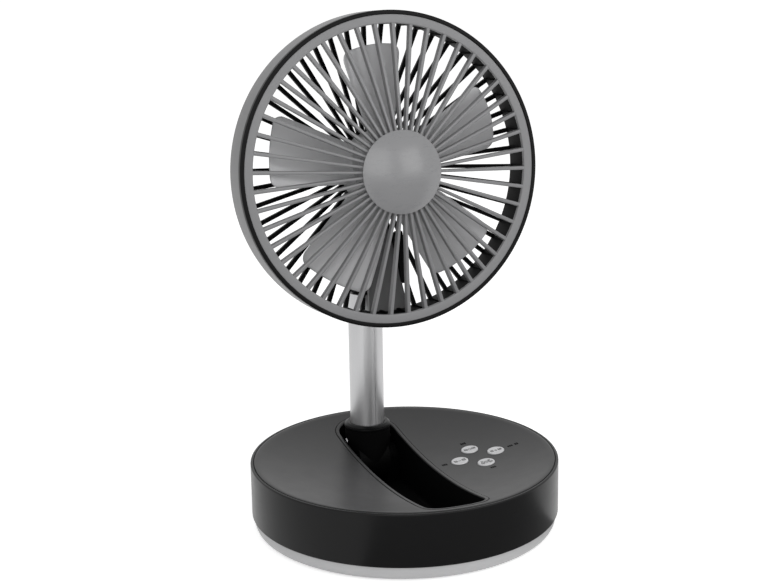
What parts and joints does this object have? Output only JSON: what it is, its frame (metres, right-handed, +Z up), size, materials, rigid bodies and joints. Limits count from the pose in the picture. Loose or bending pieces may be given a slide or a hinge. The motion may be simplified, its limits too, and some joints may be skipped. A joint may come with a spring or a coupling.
{
  "type": "folding fan",
  "caption": "Portable folding table fan: round battery base with a dished top and a trough, telescopic pole, and a tilting round head with slatted grilles.",
  "frame": {"origin": "on the floor, under the middle of the round base", "axes": "+Z up, -Y the way the fan blows, +X towards the buttons"},
  "size_m": [0.2, 0.2, 0.3308],
  "materials": {
    "black_shell": "satin black",
    "dark_panel": "satin dark grey",
    "pale_plastic": "pale grey",
    "black_plastic": "matt black",
    "rubber": "soft black",
    "steel": "plain",
    "cell_wrap": "shrink wrap",
    "board": "lacquered",
    "key_plastic": "pale grey",
    "tube_metal": "bright",
    "bush_plastic": "natural",
    "grey_plastic": "mid grey",
    "cap_plastic": "silver grey",
    "copper": "enamelled wire",
    "blade_plastic": "silver grey",
    "magnet": "plain",
    "brass": "turned"
  },
  "bodies": {
    "base": {"base_shell": "black_shell", "bottom_pan": "pale_plastic", "dish_panel": "dark_panel", "slot_trough": "black_plastic", "rubber_feet": "rubber", "pan_screws": "steel", "battery_cells": "cell_wrap", "battery_cradle": "black_plastic", "control_board": "board", "tact_switches": "steel", "usb_port": "steel", "foot_pin": "steel", "foot_washers": "steel"},
    "pole": {"foot_knuckle": "black_plastic", "foot_screws": "steel", "pole_collar": "black_plastic", "outer_tube": "tube_metal"},
    "tube_2": {"second_tube": "tube_metal", "second_bush": "bush_plastic"},
    "tube_3": {"third_tube": "tube_metal", "third_bush": "bush_plastic"},
    "tube_4": {"inner_tube": "tube_metal", "inner_bush": "bush_plastic", "neck_knuckle": "black_plastic"},
    "tilt_pin": {"neck_pin": "steel", "neck_washers": "bush_plastic"},
    "head": {"rear_cage": "black_plastic", "head_shell": "grey_plastic", "bezel_ring": "black_shell", "front_grille": "grey_plastic", "grille_cap": "cap_plastic", "motor_cover": "black_plastic", "stator": "copper", "motor_bearings": "steel", "motor_screws": "steel"},
    "rotor": {"fan_rotor": "blade_plastic", "magnet_ring": "magnet", "motor_shaft": "steel", "rotor_nut": "brass"},
    "power_key": {"power_button": "key_plastic"},
    "timer_key": {"timer_button": "key_plastic"},
    "slower_key": {"slower_button": "key_plastic"},
    "faster_key": {"faster_button": "key_plastic"}
  },
  "joints": [
    {"name": "pole_fold", "type": "hinge", "parent": "base", "child": "pole", "pos_m": [0, 0.067, 0.021], "axis": [-1, 0, 0], "range_deg": [-90, 0]},
    {"name": "second_slide", "type": "slide", "parent": "pole", "child": "tube_2", "axis": [0, 0, 1], "range_m": [0, 0.08]},
    {"name": "third_slide", "type": "slide", "parent": "tube_2", "child": "tube_3", "axis": [0, 0, 1], "range_m": [0, 0.08]},
    {"name": "inner_slide", "type": "slide", "parent": "tube_3", "child": "tube_4", "axis": [0, 0, 1], "range_m": [0, 0.08]},
    {"name": "head_fold", "type": "hinge", "parent": "tube_4", "child": "tilt_pin", "pos_m": [0, 0.067, 0.1565], "axis": [1, 0, 0], "range_deg": [-155, 0]},
    {"name": "head_tilt", "type": "hinge", "parent": "tilt_pin", "child": "head", "pos_m": [0, 0.067, 0.1565], "axis": [1, 0, 0], "range_deg": [-18.7, 21.3]},
    {"name": "fan_spin", "type": "hinge", "parent": "head", "child": "rotor", "pos_m": [0, 0.01259, 0.23142], "axis": [0, -0.994, 0.1097], "continuous": true},
    {"name": "power_press", "type": "slide", "parent": "base", "child": "power_key", "axis": [-0.1287, 0, 0.9917], "range_m": [-0.0006, 0], "stiffness_N_per_m": 300},
    {"name": "timer_press", "type": "slide", "parent": "base", "child": "timer_key", "axis": [-0.1287, 0, 0.9917], "range_m": [-0.0006, 0], "stiffness_N_per_m": 300},
    {"name": "slower_press", "type": "slide", "parent": "base", "child": "slower_key", "axis": [-0.1287, 0, 0.9917], "range_m": [-0.0006, 0], "stiffness_N_per_m": 300},
    {"name": "faster_press", "type": "slide", "parent": "base", "child": "faster_key", "axis": [-0.1287, 0, 0.9917], "range_m": [-0.0006, 0], "stiffness_N_per_m": 300}
  ],
  "couplings": [
    {"joint": "head_fold", "follows": "pole_fold", "ratio": 1.7222}
  ]
}
